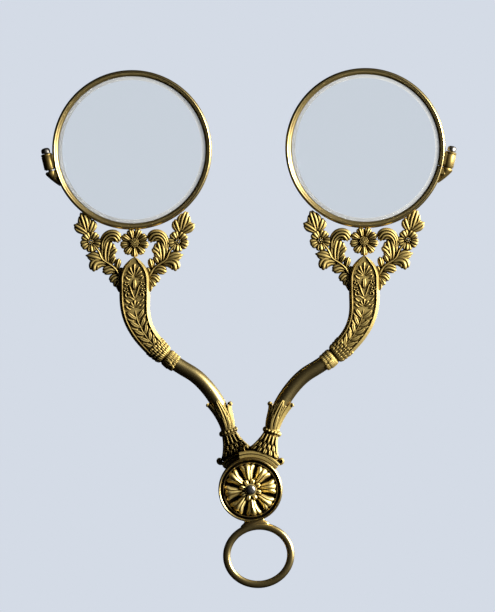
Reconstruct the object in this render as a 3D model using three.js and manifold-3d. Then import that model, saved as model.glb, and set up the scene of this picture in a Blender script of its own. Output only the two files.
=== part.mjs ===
// Scissors spectacles: two arms that fold lens over lens about one rivet, with a hanging ring on it too.
// Millimetres and degrees. The rivet lies along Y through the origin, Z is up, the front faces -Y.
import * as THREE from "three";
import { mergeVertices } from "three/addons/utils/BufferGeometryUtils.js";
import Module from "manifold-3d";

const wasm = await Module();
wasm.setup();

// Clearances
const SEAT_GAP = 0.1;
const STACK_GAP = 0.05;
const PIN_GAP = 0.06;
const FOLD_GAP = 0.8;

// Lenses and rims
const LENS_SPACING = 63;
const LENS_HEIGHT = 91.9;
const RIM_RADIUS = 21.6;
const RIM_WIDTH = 1.75;
const RIM_DEPTH = 2.8;
const RIM_SPLIT = 0.4;
const LENS_LAP = 0.45;
const LENS_THICKNESS = 2.2;
const LENS_SHOULDER = 1.5;
const LENS_EDGE = 0.4;
const LENS_BEVEL = 1.4;

// Closing blocks on the outer side of each rim
const SPLIT_ANGLE = 13.7;
const BARREL_RADIUS = 1.5;
const BARREL_LENGTH = 4.2;
const BARREL_CHAMFER = 0.4;
const TAPER_LENGTH = 4.6;
const SCREW_RADIUS = 0.55;
const SCREW_HEAD_RADIUS = 1.15;
const SCREW_HEAD_BASE = 0.3;

// Gallery of flowers and leaves between rim and panel
const GALLERY_DROP = 13.2;
const GALLERY_DEPTH = 1.9;
const DAISY_RADIUS = 3.8;
const DAISY_LAP = 0.25;
const DAISY_PETALS = 9;
const FLOWER_RADIUS = 2.9;
const FLOWER_PETALS = 5;
const BRANCH_RADIUS = 0.8;
const ACANTHUS_HALF = 2.2;
const HOOD_HALF = 1.7;
const LEAF_HALF = 1.2;

// Stem: panel, collar, rod and sheath along one S-curve
const PANEL_INSET = 0.5;
const PANEL_WIDTH = 8.3;
const PANEL_FOOT_WIDTH = 5.9;
const PANEL_DEPTH = 3.4;
const PANEL_STRAIGHT = 11.3;
const ARCH_HEIGHT = 6.2;
const ARCH_POWER = 1.6;
const ARCH_TIP = 0.05;
const FIELD_BORDER = 1.15;
const FIELD_SINK = 0.4;
const ELBOW_ACROSS = 16.4;
const ELBOW_HEIGHT = 31.8;
const ELBOW_SLOPE = 30;
const COLLAR_LEAD = 7.6;
const COLLAR_LENGTH = 7;
const COLLAR_RADIUS = 2.95;
const ROD_RADIUS = 2;
const ROD_NECK_RADIUS = 1.56;
const SHEATH_LENGTH = 7.6;
const SHEATH_LEAN = 2.1;
const SHEATH_RADIUS = 2.15;
const SHEATH_FLARE = 1.5;
const SHEATH_LEAVES = 4;

// Foot and hub
const HUB_RADIUS = 8.65;
const FOOT_ANGLE = 20.7;
const FOOT_HEIGHT = 8.55;
const FOOT_SPAN = 30;
const FOOT_COLLAR = 1.75;
const FOOT_DEPTH = 3.9;
const FOOT_FLARE = 0.9;
const NECK_WIDTH = 4.4;
const NECK_BEAD = 0.35;
const CURL_RADIUS = 0.9;
const EDGE_ROUND = 0.2;
const LEAF_THICKNESS = 1.6;
const WASHER_THICKNESS = 0.25;
const WASHER_RADIUS = 6;
const RIVET_RADIUS = 1.2;
const RIVET_HEAD_RADIUS = 1.38;
const RIVET_DOME = 0.75;
const COUNTERSINK = 0.9;
const CAP_DEPTH = 2.3;
const CAP_ROUND = 0.9;
const BEZEL_RIM = 1.35;
const BEZEL_SINK = 1.2;
const ROSETTE_PETALS = 8;
const ROSETTE_THICKNESS = 0.9;
const ROSETTE_HEART = 1.3;
const COLLET_HEIGHT = 1.55;
const COLLET_RADIUS = 1.62;

// Hanging ring
const RING_WIDTH = 19.2;
const RING_HEIGHT = 17.4;
const RING_WIRE = 1.8;
const RING_TILT = 6.8;
const RING_DROP = 17.95;
const TANG_THICKNESS = 1;
const TANG_WIDTH = 5;
const TANG_EYE_RADIUS = 7.65;

// Facets round a full turn
const WIDE_FACETS = 30;
const HUB_FACETS = 20;
const FINE_FACETS = 12;

const gilt = new THREE.Color(0xc9a24a);
const rad = THREE.MathUtils.degToRad;
const armPlane = FOLD_GAP / 2 + ROD_RADIUS;
const lensX = LENS_SPACING / 2;
const panelX = lensX - PANEL_INSET;
const pinBore = RIVET_RADIUS + PIN_GAP;

// Solids from geometry, and back
function solid(geometry) {
  const bare = geometry.clone();
  bare.deleteAttribute("normal");
  bare.deleteAttribute("uv");
  const merged = mergeVertices(bare, 1e-4);
  const mesh = new wasm.Mesh({
    numProp: 3,
    vertProperties: merged.attributes.position.array,
    triVerts: new Uint32Array(merged.index.array),
  });
  return new wasm.Manifold(mesh);
}

function geometryOf(body) {
  const mesh = body.getMesh();
  const geometry = new THREE.BufferGeometry();
  geometry.setAttribute("position", new THREE.BufferAttribute(mesh.vertProperties, 3));
  geometry.setIndex(new THREE.BufferAttribute(mesh.triVerts, 1));
  return geometry;
}

const join = (...parts) => geometryOf(wasm.Manifold.union(parts.map(solid)));

// What is left of a casting once its neighbours have their room, without loose offcuts.
function trim(part, ...neighbours) {
  const left = solid(part).subtract(wasm.Manifold.union(neighbours.map(solid)));
  const bodies = left.decompose();
  bodies.sort((a, b) => b.volume() - a.volume());
  return geometryOf(bodies[0]);
}

function piece(name, geometry, color = gilt, metalness = 1, roughness = 0.3) {
  const mesh = new THREE.Mesh(geometry, new THREE.MeshStandardMaterial({ color, metalness, roughness }));
  mesh.name = name;
  return mesh;
}

// A turned solid about Y from [radius, y] points that run up the outer side
const turned = (points, facets) =>
  new THREE.LatheGeometry(points.map(([r, y]) => new THREE.Vector2(r, y)), facets);

const disc = (radius, from, to, facets = HUB_FACETS) =>
  turned([[0, from], [radius, from], [radius, to], [0, to]], facets);

const washer = (bore, radius, from, to, facets = HUB_FACETS) =>
  turned([[bore, from], [radius, from], [radius, to], [bore, to], [bore, from]], facets);

// A flat outline in X and Z, cast to a depth about y = 0 with rounded edges
function cast(outline, depth, round, steps = 1) {
  const shape = Array.isArray(outline) ? new THREE.Shape(outline) : outline;
  const geometry = new THREE.ExtrudeGeometry(shape, {
    depth: depth - 2 * round,
    bevelEnabled: round > 0,
    bevelThickness: round,
    bevelSize: round,
    bevelOffset: -round,
    bevelSegments: steps,
    curveSegments: 3,
  });
  return geometry.translate(0, 0, round - depth / 2).rotateX(Math.PI / 2);
}

// A closed skin over rings of points, each ring with as many points
function loft(rings) {
  const sides = rings[0].length;
  const points = rings.flat();
  const index = [];
  const middle = (ring) => ring.reduce((sum, p) => sum.add(p), new THREE.Vector3()).divideScalar(sides);
  const first = points.push(middle(rings[0])) - 1;
  const last = points.push(middle(rings[rings.length - 1])) - 1;
  const end = (rings.length - 1) * sides;
  for (let i = 0; i < sides; i++) {
    const next = (i + 1) % sides;
    index.push(first, i, next, last, end + next, end + i);
    for (let a = 0; a < end; a += sides) {
      index.push(a + i, a + sides + i, a + next);
      index.push(a + next, a + sides + i, a + sides + next);
    }
  }
  return new THREE.BufferGeometry().setFromPoints(points).setIndex(index);
}

const steps = (count) => Array.from({ length: count + 1 }, (_, i) => i / count);

// Polar places: about the pivot from straight up, and below a rim from straight down at a share of the drop
const aboutPivot = (radius, angle) =>
  new THREE.Vector3(radius * Math.sin(rad(angle)), 0, radius * Math.cos(rad(angle)));

function belowRim(angle, share, hand) {
  const radius = RIM_RADIUS + share * GALLERY_DROP;
  const x = panelX + hand * radius * Math.sin(rad(angle));
  return new THREE.Vector2(x, LENS_HEIGHT - radius * Math.cos(rad(angle)));
}

// The S-curve of the stem, from the panel's tip down to the neck of the foot
const daisyZ = LENS_HEIGHT - RIM_RADIUS - DAISY_RADIUS + DAISY_LAP;
const panelTip = new THREE.Vector3(panelX, 0, daisyZ - DAISY_RADIUS);
const neck = aboutPivot(HUB_RADIUS + FOOT_HEIGHT, FOOT_ANGLE);
const bend = panelTip.clone().add(new THREE.Vector3(0, 0, -PANEL_STRAIGHT));
const elbow = new THREE.Vector3(ELBOW_ACROSS, 0, ELBOW_HEIGHT);
const rise = bend.z - neck.z;
const slope = new THREE.Vector3(Math.cos(rad(ELBOW_SLOPE)), 0, Math.sin(rad(ELBOW_SLOPE)));
const upperSweep = new THREE.CubicBezierCurve3(
  bend,
  bend.clone().add(new THREE.Vector3(0, 0, -0.155 * rise)),
  elbow.clone().addScaledVector(slope, 0.434 * rise),
  elbow,
);
const lowerSweep = new THREE.CubicBezierCurve3(
  elbow,
  elbow.clone().addScaledVector(slope, -0.2 * rise),
  neck.clone().add(new THREE.Vector3(-0.01 * rise, 0, 0.07 * rise)),
  neck,
);
const stem = new THREE.CurvePath();
stem.add(new THREE.LineCurve3(panelTip, bend));
stem.add(upperSweep);
stem.add(lowerSweep);
stem.add(new THREE.LineCurve3(neck, lowerSweep.getTangent(1).multiplyScalar(ROD_RADIUS).add(neck)));
const stemLength = stem.getLength();
const collarMiddle = PANEL_STRAIGHT + upperSweep.getLength() - COLLAR_LEAD;
const panelEnd = collarMiddle - COLLAR_LENGTH / 2 - SEAT_GAP;
const rodStart = collarMiddle + COLLAR_LENGTH / 2 + SEAT_GAP;
const sheathStart = stemLength - ROD_RADIUS - SHEATH_LENGTH;

// A ring of points square to a curve in X and Z: a power of 2 gives an oval, a higher one a rounded bar
function sectionAt(centre, along, halfWidth, halfDepth, sides, power = 2, shape = () => 1) {
  const outward = new THREE.Vector3(-along.z, 0, along.x);
  return Array.from({ length: sides }, (_, i) => {
    const turn = (2 * Math.PI * i) / sides;
    const across = Math.cos(turn);
    const deep = Math.sin(turn);
    const reach = shape(turn) / (Math.abs(across) ** power + Math.abs(deep) ** power) ** (1 / power);
    const point = centre.clone().addScaledVector(outward, halfWidth * reach * across);
    point.y += halfDepth * reach * deep;
    return point;
  });
}

// A section of the stem at a distance along it
function section(distance, ...sizes) {
  const t = THREE.MathUtils.clamp(distance / stemLength, 0, 1);
  return sectionAt(stem.getPoint(t), stem.getTangent(t), ...sizes);
}

// Half the panel's width: a pointed arch, then a slow taper to the collar
function panelHalf(distance) {
  const arch = Math.min(distance / ARCH_HEIGHT, 1);
  const taper = THREE.MathUtils.smoothstep(distance, PANEL_STRAIGHT * 0.9, panelEnd);
  const full = THREE.MathUtils.lerp(PANEL_WIDTH, PANEL_FOOT_WIDTH, taper) / 2;
  return full * Math.sqrt(1 - (1 - arch) ** 2) ** ARCH_POWER;
}

// A slab that follows the panel, its edge moved by grow, between two depths
function panelSlab(start, finish, grow, near, far) {
  const rows = steps(8).map((u) => {
    const distance = THREE.MathUtils.lerp(start, finish, u * (0.4 + 0.6 * u));
    const half = Math.max(panelHalf(distance) + grow, ARCH_TIP);
    const [out, , inn] = section(distance, half, 1, 4);
    const at = (p, y) => new THREE.Vector3(p.x, y, p.z);
    return [at(out, near), at(out, far), at(inn, far), at(inn, near)];
  });
  return loft(rows);
}

function panelGeometry() {
  const rows = steps(10).map((u) => {
    const distance = THREE.MathUtils.lerp(ARCH_TIP, panelEnd, u * (0.4 + 0.6 * u));
    return section(distance, Math.max(panelHalf(distance), ARCH_TIP), PANEL_DEPTH / 2, FINE_FACETS, 4);
  });
  const floor = PANEL_DEPTH / 2 - FIELD_SINK;
  const start = FIELD_BORDER * 1.6;
  const finish = panelEnd - FIELD_BORDER;
  const front = panelSlab(start, finish, -FIELD_BORDER, -PANEL_DEPTH, -floor);
  const back = panelSlab(start, finish, -FIELD_BORDER, floor, PANEL_DEPTH);
  return trim(loft(rows), front, back);
}

// Two leafy bands with a groove between them
function collarGeometry() {
  const halfDepth = ROD_RADIUS + FOLD_GAP / 4;
  const rows = steps(8).map((u) => {
    const band = Math.abs(Math.sin(2 * Math.PI * u)) ** 0.5;
    const swell = 0.78 + 0.22 * band;
    const distance = collarMiddle + (u - 0.5) * COLLAR_LENGTH;
    return section(distance, COLLAR_RADIUS * swell, halfDepth * swell, FINE_FACETS);
  });
  return loft(rows);
}

// The room under the neck that belongs to the foot
function footRoom() {
  const size = 3 * FOOT_HEIGHT;
  const top = HUB_RADIUS + FOOT_HEIGHT + SEAT_GAP / 2;
  return new THREE.BoxGeometry(size, size, size).translate(0, 0, top - size / 2).rotateY(rad(FOOT_ANGLE));
}

// The rod's radius, drawn down where the sheath grips it
function rodRadius(distance) {
  const gripped = THREE.MathUtils.smoothstep(distance, sheathStart, sheathStart + SHEATH_LENGTH);
  return THREE.MathUtils.lerp(ROD_RADIUS, ROD_NECK_RADIUS, gripped);
}

function rodSkin(start, grow, rows) {
  return loft(steps(rows).map((u) => {
    const distance = THREE.MathUtils.lerp(start, stemLength, u);
    const radius = rodRadius(distance) + grow;
    return section(distance, radius, radius, FINE_FACETS);
  }));
}

const rodGeometry = () => trim(rodSkin(rodStart, 0, 9), footRoom());

// A cup of leaves round the rod, whose tips turn out at the top
function sheathGeometry() {
  const deepest = ROD_RADIUS + FOLD_GAP / 4;
  const sides = 12;
  const rows = steps(5).map((u) => {
    const open = (1 - u) ** 3;
    const leafWall = (turn) => {
      const tip = Math.cos((SHEATH_LEAVES * turn) / 2) ** 2;
      const wall = SHEATH_RADIUS + open * SHEATH_FLARE * (tip + 0.07);
      return Math.abs(Math.sin(turn)) > 0.4 ? Math.min(wall, deepest / Math.abs(Math.sin(turn))) : wall;
    };
    return Array.from({ length: sides }, (_, i) => {
      const start = sheathStart - SHEATH_LEAN * Math.cos((2 * Math.PI * i) / sides);
      return section(THREE.MathUtils.lerp(start, stemLength, u), 1, 1, sides, 2, leafWall)[i];
    });
  });
  return trim(loft(rows), rodSkin(sheathStart - 2 * SHEATH_LEAN, SEAT_GAP, 5), footRoom());
}

// The round room inside which the rim lies
const rimRoom = () =>
  disc(RIM_RADIUS + SEAT_GAP, -RIM_DEPTH, RIM_DEPTH, WIDE_FACETS).translate(lensX, 0, LENS_HEIGHT);

// A petalled disc facing Y, its outline a ring of round petals with a notch between them
function petals(count, radius, waist) {
  return steps(count * 4).slice(1).map((u) => {
    const lobe = Math.abs(Math.sin(count * Math.PI * u)) ** 0.35;
    const reach = radius * (waist + (1 - waist) * lobe);
    return new THREE.Vector2(reach * Math.sin(2 * Math.PI * u), reach * Math.cos(2 * Math.PI * u));
  });
}

function flower(centre, count, radius, depth) {
  const face = cast(petals(count, radius, 0.62), depth * 0.8, depth * 0.2);
  const eye = new THREE.SphereGeometry(radius * 0.4, 6, 4).scale(1, depth * 0.5 / (radius * 0.4), 1);
  return join(face, eye).translate(centre.x, 0, centre.y);
}

// A leaf that follows a curve through the given places: a low fullness draws it to a point, a high one
// rounds it off. Four sides give it a sharp rib along its middle, six make it plump.
function leaf(places, halfWidth, fullness, depth = GALLERY_DEPTH, sides = 4, rows = 3) {
  const spine = new THREE.CatmullRomCurve3(places.map((p) => new THREE.Vector3(p.x, 0, p.y)));
  return loft(steps(rows).map((share) => {
    const u = 1 - (1 - share) ** 1.5;
    const body = Math.sin(Math.PI * (0.17 + 0.8 * u)) ** (1 / fullness);
    const halfDepth = (depth / 2) * body ** 0.5;
    return sectionAt(spine.getPoint(u), spine.getTangent(u), halfWidth * body, halfDepth, sides);
  }));
}

// One spray of the gallery: a branch from the panel's flank to a flower and a bud, lobes below it,
// and above it an acanthus leaf whose broad tip falls over like a hood
function sprayGeometry(hand) {
  const at = (angle, share) => belowRim(angle, share, hand);
  const pointed = (size, ...places) => leaf(places, size * LEAF_HALF, 1.3);
  const blunt = (size, ...places) => leaf(places, size * LEAF_HALF, 2.5);
  const root = new THREE.Vector2(panelX + hand * PANEL_WIDTH * 0.46, LENS_HEIGHT - RIM_RADIUS - GALLERY_DROP);
  const fork = at(16.2, 0.7);
  const bloom = at(25.4, 0.44);
  const bud = at(29.4, 0.29);
  const branch = [root, at(8.8, 0.85), at(12, 0.76), fork, at(19.7, 0.55), bloom];
  const acanthus = [at(13.2, 0.79), at(14.6, 0.61), at(15.2, 0.43), at(15.1, 0.28)];
  const hood = [at(17.1, 0.56), at(18.4, 0.36), at(16.2, 0.21), at(9.7, 0.25)];
  const whole = join(
    leaf(branch, BRANCH_RADIUS, 2.5, GALLERY_DEPTH * 0.8, 4, 5),
    flower(bloom, FLOWER_PETALS, FLOWER_RADIUS, GALLERY_DEPTH),
    leaf(acanthus, ACANTHUS_HALF, 2, GALLERY_DEPTH * 0.9, 6, 5),
    leaf(hood, HOOD_HALF, 2.5, GALLERY_DEPTH, 6, 6),
    blunt(0.85, at(14.2, 0.59), at(12.3, 0.49), at(10.3, 0.42)),
    pointed(1.25, bud, at(34.9, 0.16), at(42.2, 0.03)),
    blunt(0.95, bud, at(34.6, 0.29), at(39.5, 0.32)),
    pointed(0.8, bud, at(29.3, 0.16), at(30.1, 0.03)),
    pointed(1.15, fork, at(20.3, 0.7), at(25.1, 0.74)),
    blunt(1.35, at(13.2, 0.76), at(17.5, 0.79), at(18.7, 0.96)),
    blunt(1, at(8.3, 0.88), at(11.6, 0.87), at(14.7, 0.96)),
    blunt(0.9, root, at(8.9, 1.02), at(10.3, 1.12)),
    pointed(0.55, root, at(6.9, 1.16), at(6.2, 1.3)),
    blunt(0.6, at(11.8, 0.78), at(11.2, 0.67), at(10.2, 0.58)),
    blunt(0.8, at(8.6, 0.85), at(8.5, 0.73), at(8, 0.61)),
  );
  const daisy = disc(DAISY_RADIUS + SEAT_GAP, -RIM_DEPTH, RIM_DEPTH).translate(panelX, 0, daisyZ);
  return trim(whole, rimRoom(), daisy, panelSlab(0, panelEnd, SEAT_GAP, -PANEL_DEPTH, PANEL_DEPTH));
}

function daisyGeometry() {
  const whole = flower(new THREE.Vector2(panelX, daisyZ), DAISY_PETALS, DAISY_RADIUS, GALLERY_DEPTH * 1.15);
  return trim(whole, rimRoom(), panelSlab(0, panelEnd, SEAT_GAP, -PANEL_DEPTH, PANEL_DEPTH));
}

// The rim's wire: a rounded outer side, two lips and a groove for the lens, split by a saw cut
const lip = RIM_RADIUS - RIM_WIDTH;
const lensRadius = lip + LENS_LAP;

function rimGeometry() {
  const half = RIM_DEPTH / 2;
  const groove = LENS_EDGE / 2 + SEAT_GAP;
  const mouth = groove + (LENS_SHOULDER - LENS_EDGE) / 2 * (LENS_LAP / LENS_BEVEL) + SEAT_GAP;
  const outer = steps(3).map((u) => {
    const turn = Math.PI * (u - 0.5);
    return [RIM_RADIUS - RIM_WIDTH * 0.45 * (1 - Math.cos(turn)), half * Math.sin(turn)];
  });
  const inner = [[lip, half * 0.85], [lip, mouth], [lensRadius + SEAT_GAP, groove]];
  const mirrored = inner.map(([r, y]) => [r, -y]).reverse();
  const ring = turned([...outer, ...inner, ...mirrored, outer[0]], WIDE_FACETS);
  const cut = new THREE.BoxGeometry(RIM_WIDTH * 4, RIM_DEPTH * 2, RIM_SPLIT);
  cut.translate(RIM_RADIUS, 0, 0).rotateY(rad(SPLIT_ANGLE));
  return trim(ring, cut).translate(lensX, 0, LENS_HEIGHT);
}

function lensGeometry() {
  const shoulder = lensRadius - LENS_BEVEL;
  const dome = steps(2).map((u) => {
    const rise = (LENS_THICKNESS - LENS_SHOULDER) * (1 - u * u);
    return [shoulder * u, (LENS_SHOULDER + rise) / 2];
  });
  const front = [...dome, [lensRadius, LENS_EDGE / 2]];
  const back = front.map(([r, y]) => [r, -y]);
  return turned([...back, ...front.reverse()], WIDE_FACETS).translate(lensX, 0, LENS_HEIGHT);
}

// Closing blocks: made upright at the split, then laid along the rim's outer side
const blockReach = RIM_RADIUS + BARREL_RADIUS + SEAT_GAP;
const screwBore = SCREW_RADIUS + SEAT_GAP;

function onRim(geometry) {
  return geometry.translate(blockReach, 0, 0).rotateY(rad(SPLIT_ANGLE)).translate(lensX, 0, LENS_HEIGHT);
}

function blockGeometry(barrel, bottom, top, bore) {
  const saddle = new THREE.BoxGeometry(BARREL_RADIUS * 1.6, BARREL_RADIUS, top - bottom);
  saddle.translate(-BARREL_RADIUS, 0, (top + bottom) / 2);
  const rim = disc(RIM_RADIUS + SEAT_GAP, -RIM_DEPTH, RIM_DEPTH, WIDE_FACETS).translate(-blockReach, 0, 0);
  return onRim(trim(join(barrel, saddle), rim, bore));
}

const screwHole = (from, to) => disc(screwBore, from, to, FINE_FACETS).rotateX(Math.PI / 2);

function upperBlockGeometry() {
  const low = RIM_SPLIT / 2;
  const top = low + BARREL_LENGTH;
  const radius = BARREL_RADIUS;
  const profile = [[0, low], [radius, low], [radius, top - BARREL_CHAMFER],
    [radius - BARREL_CHAMFER, top], [0, top]];
  const barrel = turned(profile, FINE_FACETS).rotateX(Math.PI / 2);
  return blockGeometry(barrel, low, top - BARREL_CHAMFER, screwHole(0, top + BARREL_CHAMFER));
}

// The lower block narrows as it lies down along the rim
function lowerBlockGeometry() {
  const high = RIM_SPLIT / 2;
  const taper = loft(steps(4).map((u) => {
    const radius = BARREL_RADIUS * (1 - 0.72 * u * u);
    const turn = (high + TAPER_LENGTH * u) / blockReach;
    const reach = RIM_RADIUS + SEAT_GAP + radius;
    const centre = new THREE.Vector3(reach * Math.cos(turn) - blockReach, 0, -reach * Math.sin(turn));
    centre.z = Math.min(centre.z, -high);
    return sectionAt(centre, new THREE.Vector3(-Math.sin(turn * u), 0, -Math.cos(turn * u)), radius, radius,
      FINE_FACETS);
  }));
  return blockGeometry(taper, -high - TAPER_LENGTH * 0.6, -high, screwHole(-TAPER_LENGTH * 0.6, high));
}

function screwGeometry() {
  const seat = RIM_SPLIT / 2 + BARREL_LENGTH + SEAT_GAP;
  const head = SCREW_HEAD_RADIUS;
  const dome = steps(3).map((u) => {
    const turn = (Math.PI / 2) * u;
    return [head * Math.cos(turn), seat + SCREW_HEAD_BASE + head * Math.sin(turn)];
  });
  const profile = [[0, -TAPER_LENGTH * 0.5], [SCREW_RADIUS, -TAPER_LENGTH * 0.5], [SCREW_RADIUS, seat],
    [head, seat], ...dome];
  return onRim(turned(profile, FINE_FACETS).rotateX(Math.PI / 2));
}

// Foot: neck bead, bell, curled leaf ends, a moulded collar round the hub and the hinge leaf on the rivet
function sector(inner, outer, span) {
  const shape = new THREE.Shape();
  const start = Math.PI / 2 - rad(span);
  const finish = Math.PI / 2 + rad(span);
  shape.absarc(0, 0, outer, start, finish, false);
  shape.absarc(0, 0, inner, finish, start, true);
  return shape;
}

function footGeometry() {
  const base = HUB_RADIUS + SEAT_GAP;
  const top = HUB_RADIUS + FOOT_HEIGHT - SEAT_GAP / 2;
  const shelf = base + FOOT_COLLAR;
  const foot = shelf * Math.sin(rad(FOOT_SPAN)) * 0.88;
  const bell = steps(7).map((u) => {
    const bead = NECK_BEAD * Math.exp(-(((u - 0.1) / 0.07) ** 2));
    const spread = THREE.MathUtils.lerp(NECK_WIDTH / 2, foot, u * u * (1.6 - 0.6 * u));
    const half = spread + bead + FOOT_FLARE * u ** 8;
    const height = THREE.MathUtils.lerp(top, shelf * 0.92, u);
    const deep = Math.min(half, FOOT_DEPTH / 2);
    return Array.from({ length: FINE_FACETS }, (_, i) => {
      const turn = (2 * Math.PI * i) / FINE_FACETS;
      return new THREE.Vector3(half * Math.cos(turn), deep * Math.sin(turn), height);
    });
  });
  const split = base + FOOT_COLLAR * 0.5;
  const weld = EDGE_ROUND / 4;
  const lower = cast(sector(base, split + weld, FOOT_SPAN), FOOT_DEPTH, EDGE_ROUND);
  const upper = cast(sector(split - weld, shelf, FOOT_SPAN * 0.96), FOOT_DEPTH * 0.92, EDGE_ROUND * 1.5);
  const curl = (hand) => {
    const place = aboutPivot(shelf + CURL_RADIUS, hand * FOOT_SPAN * 0.9);
    const ball = new THREE.SphereGeometry(CURL_RADIUS, 6, 4).scale(1, FOOT_DEPTH / 2.4 / CURL_RADIUS, 1);
    return ball.translate(place.x, 0, place.z);
  };
  const leafBack = armPlane - TANG_THICKNESS / 2 - WASHER_THICKNESS - 2 * STACK_GAP;
  const leafFront = leafBack - LEAF_THICKNESS;
  const middle = (leafFront + leafBack) / 2;
  const plate = cast(sector(HUB_RADIUS * 0.8, split, FOOT_SPAN), LEAF_THICKNESS, 0).translate(0, middle, 0);
  const knuckle = disc(HUB_RADIUS - STACK_GAP * 4, leafFront, leafBack);
  const whole = join(loft(bell), lower, upper, curl(1), curl(-1), plate, knuckle);
  return trim(whole, disc(pinBore, -FOOT_DEPTH, FOOT_DEPTH)).rotateY(rad(FOOT_ANGLE));
}

// One arm, in the front layer; the other arm is the same casting turned back to front
function arm(side) {
  const group = new THREE.Group();
  const glass = new THREE.Color(0xdfe8ee);
  const steel = new THREE.Color(0x8f8a80);
  group.add(
    piece(side + "_rim", rimGeometry()),
    piece(side + "_lens", lensGeometry(), glass, 0, 0.05),
    piece(side + "_upper_block", upperBlockGeometry()),
    piece(side + "_lower_block", lowerBlockGeometry()),
    piece(side + "_rim_screw", screwGeometry(), steel),
    piece(side + "_daisy", daisyGeometry()),
    piece(side + "_inner_spray", sprayGeometry(-1)),
    piece(side + "_outer_spray", sprayGeometry(1)),
    piece(side + "_panel", panelGeometry()),
    piece(side + "_collar", collarGeometry()),
    piece(side + "_rod", rodGeometry()),
    piece(side + "_sheath", sheathGeometry()),
    piece(side + "_foot", footGeometry()),
  );
  group.position.y = -armPlane;
  const turn = new THREE.Group();
  turn.add(group);
  return turn;
}

// The stack on the rivet, from the tang in the middle out to both caps
const washerNear = TANG_THICKNESS / 2 + STACK_GAP;
const leafNear = washerNear + WASHER_THICKNESS + STACK_GAP;
const capNear = leafNear + LEAF_THICKNESS + STACK_GAP;
const capFar = capNear + CAP_DEPTH;
const fieldFloor = capFar - BEZEL_SINK;

// A cap whose raised rim holds a sunk field
function bezelGeometry() {
  const field = HUB_RADIUS - BEZEL_RIM;
  const round = BEZEL_RIM / 2;
  const crown = steps(3).map((u) => {
    const turn = Math.PI * u;
    return [HUB_RADIUS - round - round * Math.cos(turn), -capFar + round * (1 - Math.sin(turn))];
  });
  const profile = [[pinBore, -fieldFloor], [field, -fieldFloor], ...crown,
    [HUB_RADIUS, -capNear], [pinBore, -capNear], [pinBore, -fieldFloor]];
  return turned(profile, HUB_FACETS);
}

function backCapGeometry() {
  const edge = steps(2).map((u) => {
    const turn = (Math.PI / 2) * u;
    return [HUB_RADIUS - CAP_ROUND * (1 - Math.cos(turn)), capFar - CAP_ROUND * (1 - Math.sin(turn))];
  });
  const profile = [[pinBore, capNear], [HUB_RADIUS, capNear], ...edge, [pinBore + COUNTERSINK, capFar],
    [pinBore, capFar - COUNTERSINK], [pinBore, capNear]];
  return turned(profile, HUB_FACETS);
}

// Eight broad petals with scalloped ends under eight small ones, round a collet for the rivet's head
function rosetteGeometry() {
  const radius = HUB_RADIUS - BEZEL_RIM - SEAT_GAP * 2;
  const outline = steps(ROSETTE_PETALS * 4).slice(1).map((u) => {
    const place = ((u * ROSETTE_PETALS) % 1) * 2 - 1;
    const gap = Math.min((1 - Math.abs(place)) / 0.22, 1) ** 0.5;
    const reach = radius * (0.6 + 0.4 * gap) * (0.96 + 0.04 * Math.cos(3 * Math.PI * place));
    return new THREE.Vector2(reach * Math.sin(2 * Math.PI * u), reach * Math.cos(2 * Math.PI * u));
  });
  const bottom = -fieldFloor - STACK_GAP;
  const layer = (shape, depth) => cast(shape, depth, EDGE_ROUND).translate(0, bottom - depth / 2, 0);
  const broad = layer(outline, ROSETTE_THICKNESS);
  const small = layer(petals(ROSETTE_PETALS, radius * 0.48, 0.7), ROSETTE_HEART);
  const collet = disc(COLLET_RADIUS, bottom - COLLET_HEIGHT, bottom);
  const bore = disc(pinBore, -capFar * 2, 0);
  return trim(join(broad, small, collet), bore);
}

// Domed head in front of the collet, plain shank, and a tail hammered flush into the back cap's countersink
function rivetGeometry() {
  const seat = -fieldFloor - STACK_GAP * 2 - COLLET_HEIGHT;
  const flush = capFar - STACK_GAP * 2;
  const crown = steps(3).map((u) => {
    const turn = (Math.PI / 2) * u;
    return [RIVET_HEAD_RADIUS * Math.sin(turn), seat - RIVET_DOME * Math.cos(turn)];
  });
  const profile = [...crown, [RIVET_RADIUS, seat], [RIVET_RADIUS, capFar - COUNTERSINK - PIN_GAP],
    [RIVET_RADIUS + COUNTERSINK - STACK_GAP * 2, flush], [0, flush]];
  return turned(profile, HUB_FACETS);
}

// The ring and its tang, made hanging straight down, then swung to one side
function ringGroup() {
  const mean = (RING_WIDTH + RING_HEIGHT) / 4 - RING_WIRE / 2;
  const stretch = (RING_WIDTH - RING_HEIGHT) / (RING_WIDTH + RING_HEIGHT);
  const loop = (wire) => new THREE.TorusGeometry(mean, wire / 2, 8, 24).rotateX(Math.PI / 2)
    .scale(1 + stretch, 1, 1 - stretch).translate(0, 0, -RING_DROP);
  const top = RING_DROP - RING_HEIGHT / 2 + RING_WIRE * 0.6;
  const eye = disc(TANG_EYE_RADIUS, -TANG_THICKNESS / 2, TANG_THICKNESS / 2);
  const tongue = new THREE.BoxGeometry(TANG_WIDTH, TANG_THICKNESS, top - HUB_RADIUS / 2);
  tongue.translate(0, 0, -(top + HUB_RADIUS / 2) / 2);
  const bore = disc(pinBore, -TANG_THICKNESS, TANG_THICKNESS);
  const tang = trim(join(eye, tongue), loop(RING_WIRE + 2 * SEAT_GAP), bore);
  const group = new THREE.Group();
  group.add(piece("hanging_ring", loop(RING_WIRE)), piece("ring_tang", tang));
  group.rotation.y = -rad(RING_TILT);
  return group;
}

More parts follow.
